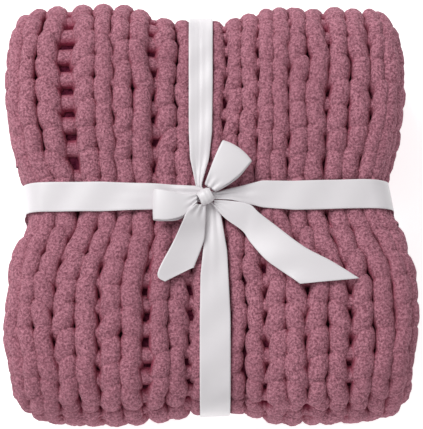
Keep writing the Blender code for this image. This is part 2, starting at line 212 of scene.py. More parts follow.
# where one column ends and the next begins, across the top, behind and in front of the ribbon
backEdges = [-0.150, -0.124, -0.100, -0.084, -0.067, -0.047, -0.028, -0.014, 0.000, 0.014,
             0.028, 0.043, 0.057, 0.072, 0.089, 0.108, 0.128, 0.148, 0.161]
frontEdges = [-0.150, -0.133, -0.114, -0.094, -0.073, -0.052, -0.034, -0.016, -0.001, 0.015,
              0.030, 0.046, 0.065, 0.083, 0.101, 0.120, 0.139, 0.158, 0.174]


def walkFold():
    # the middle line of the layers from the upper inner hem to the lower one, with the length
    # measured over the outside, where the rows of stitches run
    half = fold["depth"] / 2
    layer, parts, backEnd = fold["layer"], fold["parts"], fold["backEnd"]
    frontEnd = half - fold["frontBend"] - layer / 2
    hemEnd = half - layer - fold["hemGap"] - fold["gap"]
    drop = 3 * fold["step"] - 2 * fold["frontBend"]
    # length, bend radius, turn in degrees, width at the start, sideways shift at the start
    stretches = [
        (hemEnd + backEnd, 0, 0, 0.364, -0.002),
        (0, fold["backBend"], 180, 0.360, 0.001),
        (backEnd + frontEnd, 0, 0, 0.356, 0.001),
        (0, fold["frontBend"], 90, 0.360, 0.000),
        (drop, 0, 0, 0.366, 0.000),
        (0, fold["frontBend"], 90, 0.366, 0.000),
        (backEnd + frontEnd, 0, 0, 0.364, 0.000),
        (0, fold["backBend"], 180, 0.370, 0.001),
        (hemEnd + backEnd, 0, 0, 0.374, 0.002),
        (0.001, 0, 0, 0.374, 0.002),
    ]
    y, z, heading, run = -hemEnd, layer / 2 + 2 * fold["step"], 0.0, 0.0
    rows, starts = [], []
    for index, (length, radius, turn, width, shift) in enumerate(stretches):
        nextWidth, nextShift = stretches[min(index + 1, len(stretches) - 1)][3:]
        turnPart = math.radians(turn) / parts
        stride = 2 * radius * math.sin(turnPart / 2) if turn else length / parts
        outside = (radius + layer / 2) * turnPart if turn else length / parts
        starts.append(run)
        for part in range(parts):
            share = part / parts
            rows.append((run, y, z, heading, width + (nextWidth - width) * share,
                         shift + (nextShift - shift) * share))
            heading += turnPart / 2
            y += stride * math.cos(heading)
            z += stride * math.sin(heading)
            heading += turnPart / 2
            run += outside
    return np.array(rows).T, starts


foldLine, foldStarts = walkFold()


def crest(a, s):
    # the point at length s along the fold and length a round the layer, over the stitches
    y, z, heading, width, shift = (np.interp(s, foldLine[0], line) for line in foldLine[1:])
    radius = fold["layer"] / 2
    flat = width / 2 - radius
    face = knit["face"]
    angle = np.clip((np.abs(a) - face) / radius, 0, math.pi)
    x = np.sign(a) * (np.minimum(np.abs(a), face) * flat / face + radius * np.sin(angle)) + shift
    out = radius * np.cos(angle)
    x = np.where(np.abs(a) > face + math.pi * radius,
                 x - np.sign(a) * (np.abs(a) - face - math.pi * radius), x)
    return tied(x, y + out * np.sin(heading), np.maximum(0, z - out * np.cos(heading)))


def inFrom(a, s, depth):
    # a point that lies at a depth under the crest, square to it
    step = 0.0015
    alongA = crest(a + step, s) - crest(a - step, s)
    alongS = crest(a, s + step) - crest(a, s - step)
    normal = np.cross(alongS, alongA)
    normal /= np.linalg.norm(normal, axis=-1, keepdims=True)
    return crest(a, s) - normal * np.asarray(depth)[..., None], normal


# yarn: one strand to a row, looped through the row before it
# share of the stitch's width, share of a row, depth of the middle in yarn radii, thickness
loopShape = [
    (-0.430, -0.22, 1.52, 0.82),
    (-0.335, -0.22, 1.52, 0.84),
    (-0.235, -0.14, 1.30, 0.92),
    (-0.203, 0.05, 1.04, 0.99),
    (-0.213, 0.31, 1.06, 1.03),
    (-0.250, 0.60, 1.09, 1.03),
    (-0.284, 0.86, 1.36, 0.96),
    (-0.286, 1.12, 1.95, 0.88),
    (-0.140, 1.36, 2.35, 0.84),
]
loopShape += [(0.0, 1.42, 2.50, 0.82)] + [(-x, v, d, t) for x, v, d, t in loopShape[::-1]]

# where two columns part and the bars behind them show: across, from and to along the fold, width
spreads = [
    (-0.124, 0.42, 0.53, 0.0095),
    (-0.047, 0.36, 0.58, 0.0020),
    (0.043, 0.38, 0.52, 0.0020),
    (-0.054, 0.635, 0.745, 0.0100),
]
# how softly they part along the fold, and how far beside the gap columns still give way
parting = {"soft": 0.012, "reach": 0.030}
# how the columns drift: size, turns along the fold, turns across, start
drifts = [(0.0009, 31, 23, 0.6), (0.0008, 57, -61, 2.1), (0.0008, 93, 140, 4.0)]
# how uneven the stitches are, and where in a stitch the yarn is held
loose = {
    "lift": 0.22,            # a column's rows lie this much higher or lower, in rows
    "along": 0.045,          # a leg moved along, in rows
    "lean": 0.050,           # a leg leaning over, in stitches
    "aside": 0.016,          # a leg moved aside, in stitches
    "deep": 0.07,            # deeper or less deep, in yarn radii
    "thick": 0.035,
    "outerFrom": 0.31,       # from here out the yarn belongs to both stitches
    "outerOver": 0.12,
    "headOver": 0.15,        # the legs join in the middle over this share
}


def allEdges(middle):
    # the edges of every column, those round the two sides of the layer too
    column = knit["arcColumn"]
    left = [middle[0] - column * count for count in range(knit["arcLeftCount"], 0, -1)]
    right = [middle[-1] + column * knit["arcRight"] * count
             for count in range(1, knit["arcRightCount"] + 1)]
    return np.array(left + middle + right)


def acrossAt(place, s, parted=True):
    # place: in wales from the left, a stitch's two legs on either side of its middle
    y = foldStarts[2] + fold["backEnd"] - s
    share = np.clip((knit["turnFrom"] - y) / (knit["turnFrom"] - knit["turnTo"]), 0, 1)
    share = share * share * (3 - 2 * share)
    stops = np.arange(2 * knit["wales"] + 1) / 2
    back = np.interp(place, stops, allEdges(backEdges))
    front = np.interp(place, stops, allEdges(frontEdges))
    a = (back + (front - back) * share) * knit["spread"]
    for at, start, end, wide in spreads if parted else []:
        window = (1 / (1 + np.exp(-(s - start) / parting["soft"]))
                  / (1 + np.exp((s - end) / parting["soft"])))
        a = a + np.sign(a - at) * wide / 2 * window * np.exp(-np.abs(a - at) / parting["reach"])
    return a + sum(size * np.sin(s * turnsAlong + a * turnsAcross + start)
                   for size, turnsAlong, turnsAcross, start in drifts)


def catmull(points, parts):
    # a smooth run through points: rows x places x values
    longer = np.concatenate([points[:, :1], points, points[:, -1:]], 1)
    count = points.shape[1] - 1
    before, start, end, after = (longer[:, i:i + count] for i in range(4))
    steps = []
    for part in range(parts):
        t = part / parts
        steps.append(start + t * (end - before) / 2
                     + t * t * (2 * before - 5 * start + 4 * end - after) / 2
                     + t ** 3 * (3 * start - before - 3 * end + after) / 2)
    run = np.stack(steps, 2).reshape(points.shape[0], -1, points.shape[2])
    return np.concatenate([run, points[:, -1:]], 1)


random = np.random.default_rng(knit["seed"])
walePhase = random.uniform(-loose["lift"], loose["lift"], knit["wales"] + 2)
# for each row, stitch and leg: along, lean, aside, depth, thickness
stitchNudge = random.normal(0, 1, (80, knit["wales"], 2, 5))


def strand(row, wales):
    # the points that shape one row's yarn over the given stitches: place, along, depth, radius
    points = []
    for wale in wales:
        lift = walePhase[wale + 1]
        for x, v, depth, thick in loopShape:
            leg = 0 if x < 0 else 1
            # 1 between two stitches
            outer = min(1, max(0, (abs(x) - loose["outerFrom"]) / loose["outerOver"]))
            # 0 where legs or stitches join
            free = (1 - outer) * min(1, abs(x) / loose["headOver"])
            beside = walePhase[wale + (0 if x < 0 else 2)]
            nudge = stitchNudge[row, wale, leg]
            along = row + v + lift + (beside - lift) * outer / 2 + loose["along"] * nudge[0] * free
            lean = loose["lean"] * nudge[1] * (v - 0.5)
            place = wale + 0.5 + x + (lean + loose["aside"] * nudge[2]) * free
            points.append((place, along * knit["row"], depth + loose["deep"] * nudge[3] * free,
                           thick * (1 + loose["thick"] * nudge[4] * free)))
    return points


def yarnRows(rows, wales):
    # the strands of the given rows over the given stitches, as tubes
    points = catmull(np.array([strand(row, wales) for row in rows]), knit["parts"])
    along = np.clip(points[..., 1], foldLine[0][0], foldLine[0][-1] - knit["lastRow"])
    place = points[..., 0]
    # thicker where its column has more room
    columnFrom = np.floor(2 * place) / 2
    room = acrossAt(columnFrom + 0.5, along, False) - acrossAt(columnFrom, along, False)
    swell = np.minimum(room, knit["widest"]) / knit["usual"]
    radius = knit["yarn"] * (knit["firm"] + (1 - knit["firm"]) * swell)
    depth = np.maximum(points[..., 2], points[..., 3] + knit["leastCover"]) * radius
    a = acrossAt(place, along)
    crease = (bell(along - foldStarts[3] - knit["creaseAt"], knit["creaseWide"])
              * trough(a, knit["creaseHalf"], knit["creaseFade"]))
    depth = depth + knit["creaseDeep"] * crease
    paths, outward = inFrom(a, along, depth)
    points, faces, sunk = tubes(paths, points[..., 3] * radius, knit["sides"], outward, depth)
    # less painted shade round the sides, where the light gets in
    shade = knit["shadeSides"] + (1 - knit["shadeSides"]) * trough(a, knit["shadeTo"],
                                                                   knit["shadeFade"])
    return points, faces, sunk * np.repeat(shade.ravel(), knit["sides"])


def tubes(paths, radii, sides, outward, depth):
    # a round tube along each path, its ends closed, and how deep in the gaps each point of it is,
    # which sets its painted shade
    count, length, _ = paths.shape
    tangent = np.gradient(paths, axis=1)
    tangent /= np.linalg.norm(tangent, axis=2, keepdims=True)
    # square to the strand, from a direction that none starts along
    up = np.cross(tangent[:, 0], np.array([0.31, 0.52, 0.8]))
    ups = []
    for step in range(length):
        up = up - tangent[:, step] * np.sum(up * tangent[:, step], 1, keepdims=True)
        up /= np.linalg.norm(up, axis=1, keepdims=True)
        ups.append(up)
    up = np.stack(ups, 1)
    side = np.cross(tangent, up)
    turn = np.arange(sides) * 2 * math.pi / sides
    ring = (up[:, :, None] * np.cos(turn)[None, None, :, None]
            + side[:, :, None] * np.sin(turn)[None, None, :, None])
    points = paths[:, :, None] + ring * radii[:, :, None, None]
    # 0 on top of the strand, its radius at the sides, more where it dives behind others
    sunk = radii[:, :, None] * (1 - np.sum(ring * outward[:, :, None], 3))
    sunk = sunk + (knit["diveShade"] * np.maximum(0, depth - knit["diveFrom"] * radii))[:, :, None]
    index = np.arange(count * length * sides).reshape(count, length, sides)
    after = np.roll(index, -1, 2)
    quads = np.stack([index[:, :-1], after[:, :-1], after[:, 1:], index[:, 1:]], -1)
    faces = quads.reshape(-1, 4).tolist()
    faces += index[:, 0, ::-1].tolist() + index[:, -1].tolist()
    return points.reshape(-1, 3), faces, sunk.reshape(-1)


def newPiece(name, points, faces, material):
    # a mesh on the part's one body, in a material slot
    mesh = bpy.data.meshes.new(name)
    mesh.from_pydata(points.tolist(), [], faces)
    mesh.update()
    piece = bpy.data.objects.new(name, mesh)
    scene.collection.objects.link(piece)
    mesh.materials.append(material)
    mesh.shade_smooth()
    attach(piece, "root")
    return piece


def sheetFaces(grid, closed):
    # the faces between the rows and columns of a grid, closed to a ring where it has no ends
    index = np.arange(grid.shape[0] * grid.shape[1]).reshape(grid.shape[:2])
    if closed:
        index = np.concatenate([index, index[:1]])
    quads = np.stack([index[:-1, :-1], index[:-1, 1:], index[1:, 1:], index[1:, :-1]], -1)
    return quads.reshape(-1, 4).tolist()


def thicken(piece, thickness):
    # gives a sheet its thickness, half to either side
    bpy.ops.object.select_all(action="DESELECT")
    piece.select_set(True)
    bpy.context.view_layer.objects.active = piece
    wall = piece.modifiers.new("thickness", "SOLIDIFY")
    wall.thickness = thickness
    wall.offset = 0
    bpy.ops.object.modifier_apply(modifier=wall.name)
    piece.data.shade_smooth()


# materials
def newMaterial(name, roughness):
    material = bpy.data.materials.new(name)
    material.use_nodes = True
    shader = material.node_tree.nodes["Principled BSDF"]
    shader.inputs["Roughness"].default_value = roughness
    return material, material.node_tree.nodes, material.node_tree.links, shader


def noise(nodes, links, place, scale, detail=2):
    texture = nodes.new("ShaderNodeTexNoise")
    texture.inputs["Scale"].default_value = scale
    texture.inputs["Detail"].default_value = detail
    links.new(place, texture.inputs["Vector"])
    return texture.outputs["Fac"]


def ranged(nodes, links, value, low, high, start=0.0, end=1.0):
    step = nodes.new("ShaderNodeMapRange")
    step.inputs["From Min"].default_value = low
    step.inputs["From Max"].default_value = high
    step.inputs["To Min"].default_value = start
    step.inputs["To Max"].default_value = end
    links.new(value, step.inputs["Value"])
    return step.outputs["Result"]


def mixed(nodes, links, share, first, second):
    mix = nodes.new("ShaderNodeMix")
    mix.data_type = "RGBA"
    links.new(share, mix.inputs["Factor"])
    for socket, colour in (("A", first), ("B", second)):
        if isinstance(colour, tuple):
            mix.inputs[socket].default_value = (*colour, 1)
        else:
            links.new(colour, mix.inputs[socket])
    return mix.outputs["Result"]


def raised(nodes, links, shader, first, share, second, strength, distance):
    # fine relief: the first height, times its share, and the second
    height = nodes.new("ShaderNodeMath")
    height.operation = "MULTIPLY_ADD"
    height.inputs[1].default_value = share
    links.new(first, height.inputs[0])
    links.new(second, height.inputs[2])
    bump = nodes.new("ShaderNodeBump")
    bump.inputs["Strength"].default_value = strength
    bump.inputs["Distance"].default_value = distance
    links.new(height.outputs["Value"], bump.inputs["Height"])
    links.new(bump.outputs["Normal"], shader.inputs["Normal"])


def newPile():
    # the chenille's pile, dark at the roots and light at the tips
    group = bpy.data.node_groups.new("pile", "ShaderNodeTree")
    inputs = [("Place", "Vector"), ("Scale", "Float"), ("Detail", "Float"), ("Roughness", "Float"),
              ("From", "Float"), ("To", "Float"), ("Roots", "Color"), ("Tips", "Color")]
    for name, kind in inputs:
        group.interface.new_socket(name, in_out="INPUT", socket_type="NodeSocket" + kind)
    for name, kind in (("Colour", "Color"), ("Height", "Float")):
        group.interface.new_socket(name, in_out="OUTPUT", socket_type="NodeSocket" + kind)
    nodes, links = group.nodes, group.links
    given = nodes.new("NodeGroupInput").outputs
    result = nodes.new("NodeGroupOutput").inputs
    texture = nodes.new("ShaderNodeTexNoise")
    for socket, name in (("Vector", "Place"), ("Scale", "Scale"), ("Detail", "Detail"),
                         ("Roughness", "Roughness")):
        links.new(given[name], texture.inputs[socket])
    share = nodes.new("ShaderNodeMapRange")
    for socket, source in (("Value", texture.outputs["Fac"]), ("From Min", given["From"]),
                           ("From Max", given["To"])):
        links.new(source, share.inputs[socket])
    colour = mixed(nodes, links, share.outputs["Result"], given["Roots"], given["Tips"])
    links.new(colour, result["Colour"])
    links.new(texture.outputs["Fac"], result["Height"])
    return group


def pileIn(nodes, links, place, values):
    # the pile in one material, with that material's own values
    pile = nodes.new("ShaderNodeGroup")
    pile.node_tree = pileGroup
    links.new(place, pile.inputs["Place"])
    for name, value in values.items():
        pile.inputs[name].default_value = (*value, 1) if isinstance(value, tuple) else value
    return pile.outputs["Colour"], pile.outputs["Height"]


chenilleLook = {
    "pile": {"Scale": 500, "Detail": 3, "Roughness": 0.75, "From": 0.36, "To": 0.66,
             "Roots": (0.24, 0.075, 0.11), "Tips": (0.765, 0.330, 0.420)},
    "tufts": 210,                        # scale of the tufts, felt as relief alone
    "pileRelief": 0.6,
    "relief": 0.0026,
    "patches": 11, "patchFrom": 0.40, "patchTo": 0.75, "patchMost": 0.30,
    "patch": (0.34, 0.120, 0.165),       # duller
    "paintedShadeFrom": 0.0035, "paintedShadeTo": 0.0078, "paintedShadeMost": 0.93,    # painted shade: from and to, in metres into the gaps, and its most
    # the painted shade's colour, deep red, between the loops
    "deep": (0.310, 0.026, 0.070),
    "sheen": 0.12, "sheenRoughness": 0.5, "sheenTint": (1.0, 0.80, 0.85, 1),
    "specular": 0.12,
}
# painted shade: the cloth behind the loops gets a darkened copy of the chenille's colours
shadeLook = {
    "pile": {"Scale": 280, "Detail": 3, "Roughness": 0.65, "From": 0.38, "To": 0.64,
             "Roots": (0.050, 0.004, 0.015), "Tips": (0.150, 0.022, 0.050)},
    "specular": 0.05,
}


def chenille(look):
    # short pile, duller in patches, painted shade in deep red between the loops
    material, nodes, links, shader = newMaterial("rose chenille", 1.0)
    shader.inputs["Sheen Weight"].default_value = look["sheen"]
    shader.inputs["Sheen Roughness"].default_value = look["sheenRoughness"]
    shader.inputs["Sheen Tint"].default_value = look["sheenTint"]
    shader.inputs["Specular IOR Level"].default_value = look["specular"]
    place = nodes.new("ShaderNodeTexCoord").outputs["Object"]
    colour, pile = pileIn(nodes, links, place, look["pile"])
    tufts = noise(nodes, links, place, look["tufts"])
    cloud = noise(nodes, links, place, look["patches"])
    dull = ranged(nodes, links, cloud, look["patchFrom"], look["patchTo"], 0, look["patchMost"])
    colour = mixed(nodes, links, dull, colour, look["patch"])
    # painted shade: the yarn's depth among the loops mixes in the deep red
    inner = nodes.new("ShaderNodeAttribute")
    inner.attribute_name = "inner"
    paintedShadeShare = ranged(nodes, links, inner.outputs["Fac"], look["paintedShadeFrom"], look["paintedShadeTo"], 0,
                    look["paintedShadeMost"])
    links.new(mixed(nodes, links, paintedShadeShare, colour, look["deep"]), shader.inputs["Base Color"])
    raised(nodes, links, shader, pile, look["pileRelief"], tufts, 1.0, look["relief"])
    return material


def shadedChenille(look):
    # the cloth behind the loops, its colour painted dark for the shade it lies in under them
    material, nodes, links, shader = newMaterial("rose chenille in shade", 1.0)
    shader.inputs["Specular IOR Level"].default_value = look["specular"]
    place = nodes.new("ShaderNodeTexCoord").outputs["Object"]
    links.new(pileIn(nodes, links, place, look["pile"])[0], shader.inputs["Base Color"])
    return material


pileGroup = newPile()
yarnMaterial = chenille(chenilleLook)
backMaterial = shadedChenille(shadeLook)

satinLook = {
    "colour": (0.89, 0.86, 0.88), "colourPatch": (0.84, 0.80, 0.835), "patches": 45,
    "edge": (0.92, 0.88, 0.91), "edgeFrom": 0.0117, "edgeTo": 0.0123,    # from the middle
    "floats": 900, "floatStretch": (0.25, 3.0, 1), "floatLow": 0.3, "floatHigh": 0.7,
    "roughness": 0.36, "roughLow": 0.30, "roughHigh": 0.44,
    "edgeRelief": 1.5, "reliefStrength": 0.25, "relief": 0.00025,
    "sheen": 0.12, "specular": 0.55, "coat": 0.10, "coatRoughness": 0.30,
}


def satin(look):
    # long floats that run across the ribbon, a firmer line woven along each edge
    material, nodes, links, shader = newMaterial("white satin", look["roughness"])
    shader.inputs["Sheen Weight"].default_value = look["sheen"]
    shader.inputs["Specular IOR Level"].default_value = look["specular"]
    shader.inputs["Coat Weight"].default_value = look["coat"]
    shader.inputs["Coat Roughness"].default_value = look["coatRoughness"]
    along = nodes.new("ShaderNodeUVMap")
    along.uv_map = "ribbon"
    stretch = nodes.new("ShaderNodeMapping")
    stretch.inputs["Scale"].default_value = look["floatStretch"]
    links.new(along.outputs["UV"], stretch.inputs["Vector"])
    floats = noise(nodes, links, stretch.outputs["Vector"], look["floats"])
    cloud = noise(nodes, links, along.outputs["UV"], look["patches"])
    parts = nodes.new("ShaderNodeSeparateXYZ")
    links.new(along.outputs["UV"], parts.inputs["Vector"])
    fromMiddle = nodes.new("ShaderNodeMath")
    fromMiddle.operation = "ABSOLUTE"
    links.new(parts.outputs["X"], fromMiddle.inputs[0])
    edge = ranged(nodes, links, fromMiddle.outputs["Value"], look["edgeFrom"], look["edgeTo"])
    colour = mixed(nodes, links, cloud, look["colour"], look["colourPatch"])
    links.new(mixed(nodes, links, edge, colour, look["edge"]), shader.inputs["Base Color"])
    rough = ranged(nodes, links, floats, look["floatLow"], look["floatHigh"], look["roughLow"],
                   look["roughHigh"])
    links.new(rough, shader.inputs["Roughness"])
    raised(nodes, links, shader, edge, look["edgeRelief"], floats, look["reliefStrength"],
           look["relief"])
    return material


satinMaterial = satin(satinLook)
print("materials ready")

# the yarn, a few pieces to stay light, in order along the fold
allWales = list(range(knit["wales"]))
rowAt = [int(round(start / knit["row"])) for start in foldStarts]
yarnParts = [
    ("knitSmallFold", rowAt[1], rowAt[2] - 1, allWales),
    ("knitTop", rowAt[2] - 1, rowAt[3] - 1, allWales),
    ("knitBigFold", rowAt[3] - 1, rowAt[6] + 1, allWales),
    ("knitUnder", rowAt[6] + 1, rowAt[7], allWales),
    ("knitLowerFold", rowAt[7], rowAt[8], allWales),
    ("knitUpperLeft", 0, rowAt[1], allWales[:2]),
    ("knitUpperRight", 0, rowAt[1], allWales[-2:]),
    ("knitLowerLeft", rowAt[8], rowAt[9], allWales[:2]),
    ("knitLowerRight", rowAt[8], rowAt[9], allWales[-2:]),
]
for name, first, last, wales in yarnParts:
    points, faces, sunk = yarnRows(range(first, last), wales)
    piece = newPiece(name, points, faces, yarnMaterial)
    # painted shade: how deep each point lies among the loops, which darkens its colour in the
    # material
    inner = piece.data.attributes.new("inner", "FLOAT", "POINT")
    inner.data.foreach_set("value", sunk.astype(np.float32))
    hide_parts("blanket")
    print("yarn:", name, last - first, "rows")


# the cloth behind the loops, a thin sheet folded in three across and back and forth along
backing = {
    "depth": 0.0165,         # under the tops of the stitches
    "thickness": 0.002,
    "across": 12,            # spans over each of its three widths
    "arc": 5,                # points round each side
    "along": 150,            # rows along the fold
    "edgeTurn": 0.6,         # the outer edge lies this share of a half turn round the side
    "turnIn": 0.012,         # the inner edge's distance from the side
}


def clothSection(flat):
    # across and out from mid-layer, from the outer width round to the middle one
    radius = fold["layer"] / 2 - backing["depth"]
    inner = radius / 2
    line = [(-flat - radius * math.sin(turn), radius * math.cos(turn))
            for turn in np.linspace(math.pi * backing["edgeTurn"], 0, backing["arc"])]
    line += [(x, radius) for x in np.linspace(-flat, flat, backing["across"] + 1)[1:-1]]
    line += [(flat + radius * math.sin(turn), radius * math.cos(turn))
             for turn in np.linspace(0, math.pi, backing["arc"])]
    far = -flat + backing["turnIn"]
    line += [(x, -radius) for x in np.linspace(flat, far, backing["across"] + 1)[1:-1]]
    line += [(far - inner * math.sin(turn), -inner - inner * math.cos(turn))
             for turn in np.linspace(0, math.pi, backing["arc"])]
    line += [(x, 0) for x in np.linspace(far, flat - backing["turnIn"], backing["across"] + 1)[1:]]
    return np.array(line)


def makeBacking():
    # the section carried along the fold, then tied in with the rest
    rows = []
    lengths = np.linspace(foldLine[0][0], foldLine[0][-1], backing["along"])
    for s in lengths:
        y, z, heading, width, shift = (np.interp(s, foldLine[0], line) for line in foldLine[1:])
        section = clothSection(width / 2 - fold["layer"] / 2)
        out = section[:, 1]
        rows.append(tied(section[:, 0] + shift, y + out * math.sin(heading),
                         z - out * math.cos(heading)))
    grid = np.array(rows)
    piece = newPiece("blanketCloth", grid.reshape(-1, 3), sheetFaces(grid, False), backMaterial)
    thicken(piece, backing["thickness"])
    return piece


blanketCloth = makeBacking()
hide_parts("blanket")
print("blanket cloth folded")

# the ribbon
ribbon = {
    "width": 0.026,
    "thickness": 0.0004,
    "clear": 0.0008,         # over the stitches
    "middle": 0.0005,        # half the solid's thickness
    "step": 0.003,           # between two rows along the ribbon
    "across": 16,            # faces across it
    "cornerParts": 16,       # steps round a corner of the pile
    "crossLift": 0.0016,     # the cross ribbon goes over the long one: height, half width, slope
    "crossHalf": 0.021,
    "crossSlope": 0.012,
    "sideReach": 0.002,      # it stands out from the square pile at the sides
    "cornerTop": 0.0215,
    "cornerLow": 0.0275,
    "taper": 0.0088,         # and closes in over the upper layers
    "pleat": 0.0011,         # the lengthwise folds at the knot: height, count, how soon full
    "pleats": 2.5,
    "pleatSoon": 1.4,
    "runPleat": 0.5,         # share of them in the runs round the bundle, and in the bow
    "bowPleat": 0.6,
    "wave": 0.0004,
    "longWave": (130, 1.7, 0.0),    # turns along and across, start
    "crossWave": (120, 1.3, 1.0),
    "crease": 0.0009,        # behind the knot: depth, where it is full, place and width across
    "creaseFull": 0.03,
    "creaseAside": -0.1,
    "creaseWide": 0.16,
}


def roundPile(reach, low, high, corners):
    # a rounded rectangle: out, height and the outward direction, in even steps
    middle, rise, line = (low + high) / 2, (high - low) / 2, []
    for quarter, corner in enumerate(corners):
        cornerOut = (reach - corner) * (1 if quarter in (0, 3) else -1)
        cornerUp = (rise - corner) * (1 if quarter in (0, 1) else -1)
        for turn in np.linspace(0, math.pi / 2, ribbon["cornerParts"]) + math.pi / 2 * quarter:
            out, rising = math.cos(turn), math.sin(turn)
            line.append((cornerOut + corner * out, middle + cornerUp + corner * rising,
                         out, rising))
    line = np.array(line + line[:1])
    lengths = np.concatenate([[0], np.cumsum(np.hypot(*np.diff(line[:, :2], axis=0).T))])
    count = int(lengths[-1] / ribbon["step"])
    even = np.linspace(0, lengths[-1], count, endpoint=False)
    return [np.interp(even, lengths, column) for column in line.T] + [even]


def overStitches(x, y, z, outX, outY, outZ, lift):
    # a point of the square pile's wrapping, tied in with the pile and lifted off it
    inside = np.clip(z, 0, fold["height"])
    lifted = np.stack([outX * lift, outY * lift, z - inside + outZ * lift], -1)
    return tied(x, y, inside) + lifted


def pleats(share, across, start):
    # the lengthwise folds of a ribbon where it is drawn together
    folds = np.cos(across * math.pi * ribbon["pleats"] + start) * ribbon["pleat"]
    return folds * np.clip(share * ribbon["pleatSoon"], 0, 1)


def waves(size, along, across, turns):
    # shallow waves that cross a ribbon at a slant
    turnsAlong, turnsAcross, start = turns
    return size * np.sin(along * turnsAlong + across * turnsAcross + start)


def sheetPiece(name, grid, along, closed, replaced, length):
    # a ribbon through a grid of points, rows along it and columns across it
    rows, columns = grid.shape[:2]
    piece = newPiece(name, grid.reshape(-1, 3), sheetFaces(grid, closed), satinMaterial)
    layout = piece.data.uv_layers.new(name="ribbon")
    acrossShare = np.linspace(-0.5, 0.5, columns) * ribbon["width"]
    flat = np.stack([np.tile(acrossShare, rows), np.repeat(along, columns)], -1)
    corners = np.empty(len(piece.data.loops), dtype=np.int32)
    piece.data.loops.foreach_get("vertex_index", corners)
    layout.data.foreach_set("uv", flat[corners].astype(np.float32).ravel())
    thicken(piece, ribbon["thickness"])
    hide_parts(replaced)
    print("ribbon:", name, round(length, 3))
    return piece


across = np.linspace(-1, 1, ribbon["across"] + 1)[None, :]


def ribbonLong():
    layer, clear = fold["layer"], ribbon["clear"]
    back = fold["backBend"] + layer / 2 - clear
    front = fold["frontBend"] + layer / 2
    y, z, outY, outZ, run = roundPile(fold["depth"] / 2 + clear, -clear, fold["height"] + clear,
                                      (back, front, front, back))
    y, z, outY, outZ, along = (line[:, None] for line in (y, z, outY, outZ, run))
    middle, share = ribbonAt(longRows, y, z)
    x = middle + across * share * ribbon["width"] / 2
    # creased lengthwise where it is laid narrower, behind the knot
    crease = (ribbon["crease"] * np.clip(y / ribbon["creaseFull"], 0, 1)
              * np.exp(-np.abs(across - ribbon["creaseAside"]) / ribbon["creaseWide"]))
    lift = ribbon["middle"] + pleats(1 - share, across, start=0.4) * ribbon["runPleat"] - crease
    lift = lift + waves(ribbon["wave"], along, across, ribbon["longWave"])
    nothing = np.zeros_like(x)
    grid = overStitches(x, y + nothing, z + nothing, nothing, outY, outZ, lift)
    return sheetPiece("ribbonLong", grid, run, True, "ribbon_long",
                      run[-1] + ribbon["step"])


def ribbonCross():
    clear = ribbon["clear"]
    reach = fold["width"] / 2 + ribbon["sideReach"] + clear
    x, z, outX, outZ, run = roundPile(reach, -clear, fold["height"] + clear, (
        ribbon["cornerTop"], ribbon["cornerTop"], ribbon["cornerLow"], ribbon["cornerLow"]))
    widest = fold["layer"] / 2 + fold["step"]
    above = np.clip((z - widest) / (2 * fold["step"]), 0, 1)
    x = x * (1 - above * ribbon["taper"] / reach)
    x, z, outX, outZ, along = (line[:, None] for line in (x, z, outX, outZ, run))
    middle, share = ribbonAt(crossRows, x, z)
    y = middle + across * share * ribbon["width"] / 2
    lift = ribbon["middle"] + pleats(1 - share, across, start=1.1) * ribbon["runPleat"]
    lift = lift + waves(ribbon["wave"], along, across, ribbon["crossWave"])
    lift = lift + ribbon["crossLift"] * trough(x, ribbon["crossHalf"],
                                               ribbon["crossSlope"]) * np.abs(outZ)
    nothing = np.zeros_like(y)
    grid = overStitches(x + nothing, y, z + nothing, outX, nothing, outZ, lift)
    return sheetPiece("ribbonCross", grid, run, True, "ribbon_cross",
                      run[-1] + ribbon["step"])


ribbonLong()
ribbonCross()

# the bow: each loop goes out from the knot and comes back over itself
# its rows: reach from the knot, drift to the side, height over the stitches, width
loops = {
    "bow_loop_left": {
        "start": (-0.0092, 0.0000), "angle": 180, "round": 0.0006,
        "rows": [(0.0000, 0.0000, 0.0052, 0.0080), (0.0060, -0.0050, 0.0049, 0.0140),
                 (0.0165, -0.0078, 0.0048, 0.0225), (0.0315, -0.0068, 0.0050, 0.0265),
                 (0.0376, -0.0062, 0.0078, 0.0270), (0.0345, -0.0062, 0.0108, 0.0270),
                 (0.0245, -0.0073, 0.0118, 0.0255), (0.0110, -0.0065, 0.0106, 0.0185),
                 (0.0000, 0.0000, 0.0092, 0.0080)],
    },
    "bow_loop_right": {
        "start": (0.0019, 0.0088), "angle": 53.5, "round": 0.0028,
        "rows": [(0.0000, 0.0000, 0.0052, 0.0110), (0.0100, 0.0008, 0.0046, 0.0190),
                 (0.0225, 0.0009, 0.0046, 0.0265), (0.0340, -0.0002, 0.0052, 0.0305),
                 (0.0400, 0.0000, 0.0082, 0.0308), (0.0375, 0.0000, 0.0114, 0.0308),
                 (0.0245, 0.0009, 0.0124, 0.0270), (0.0115, 0.0008, 0.0114, 0.0195),
                 (0.0000, 0.0000, 0.0092, 0.0110)],
    },
}
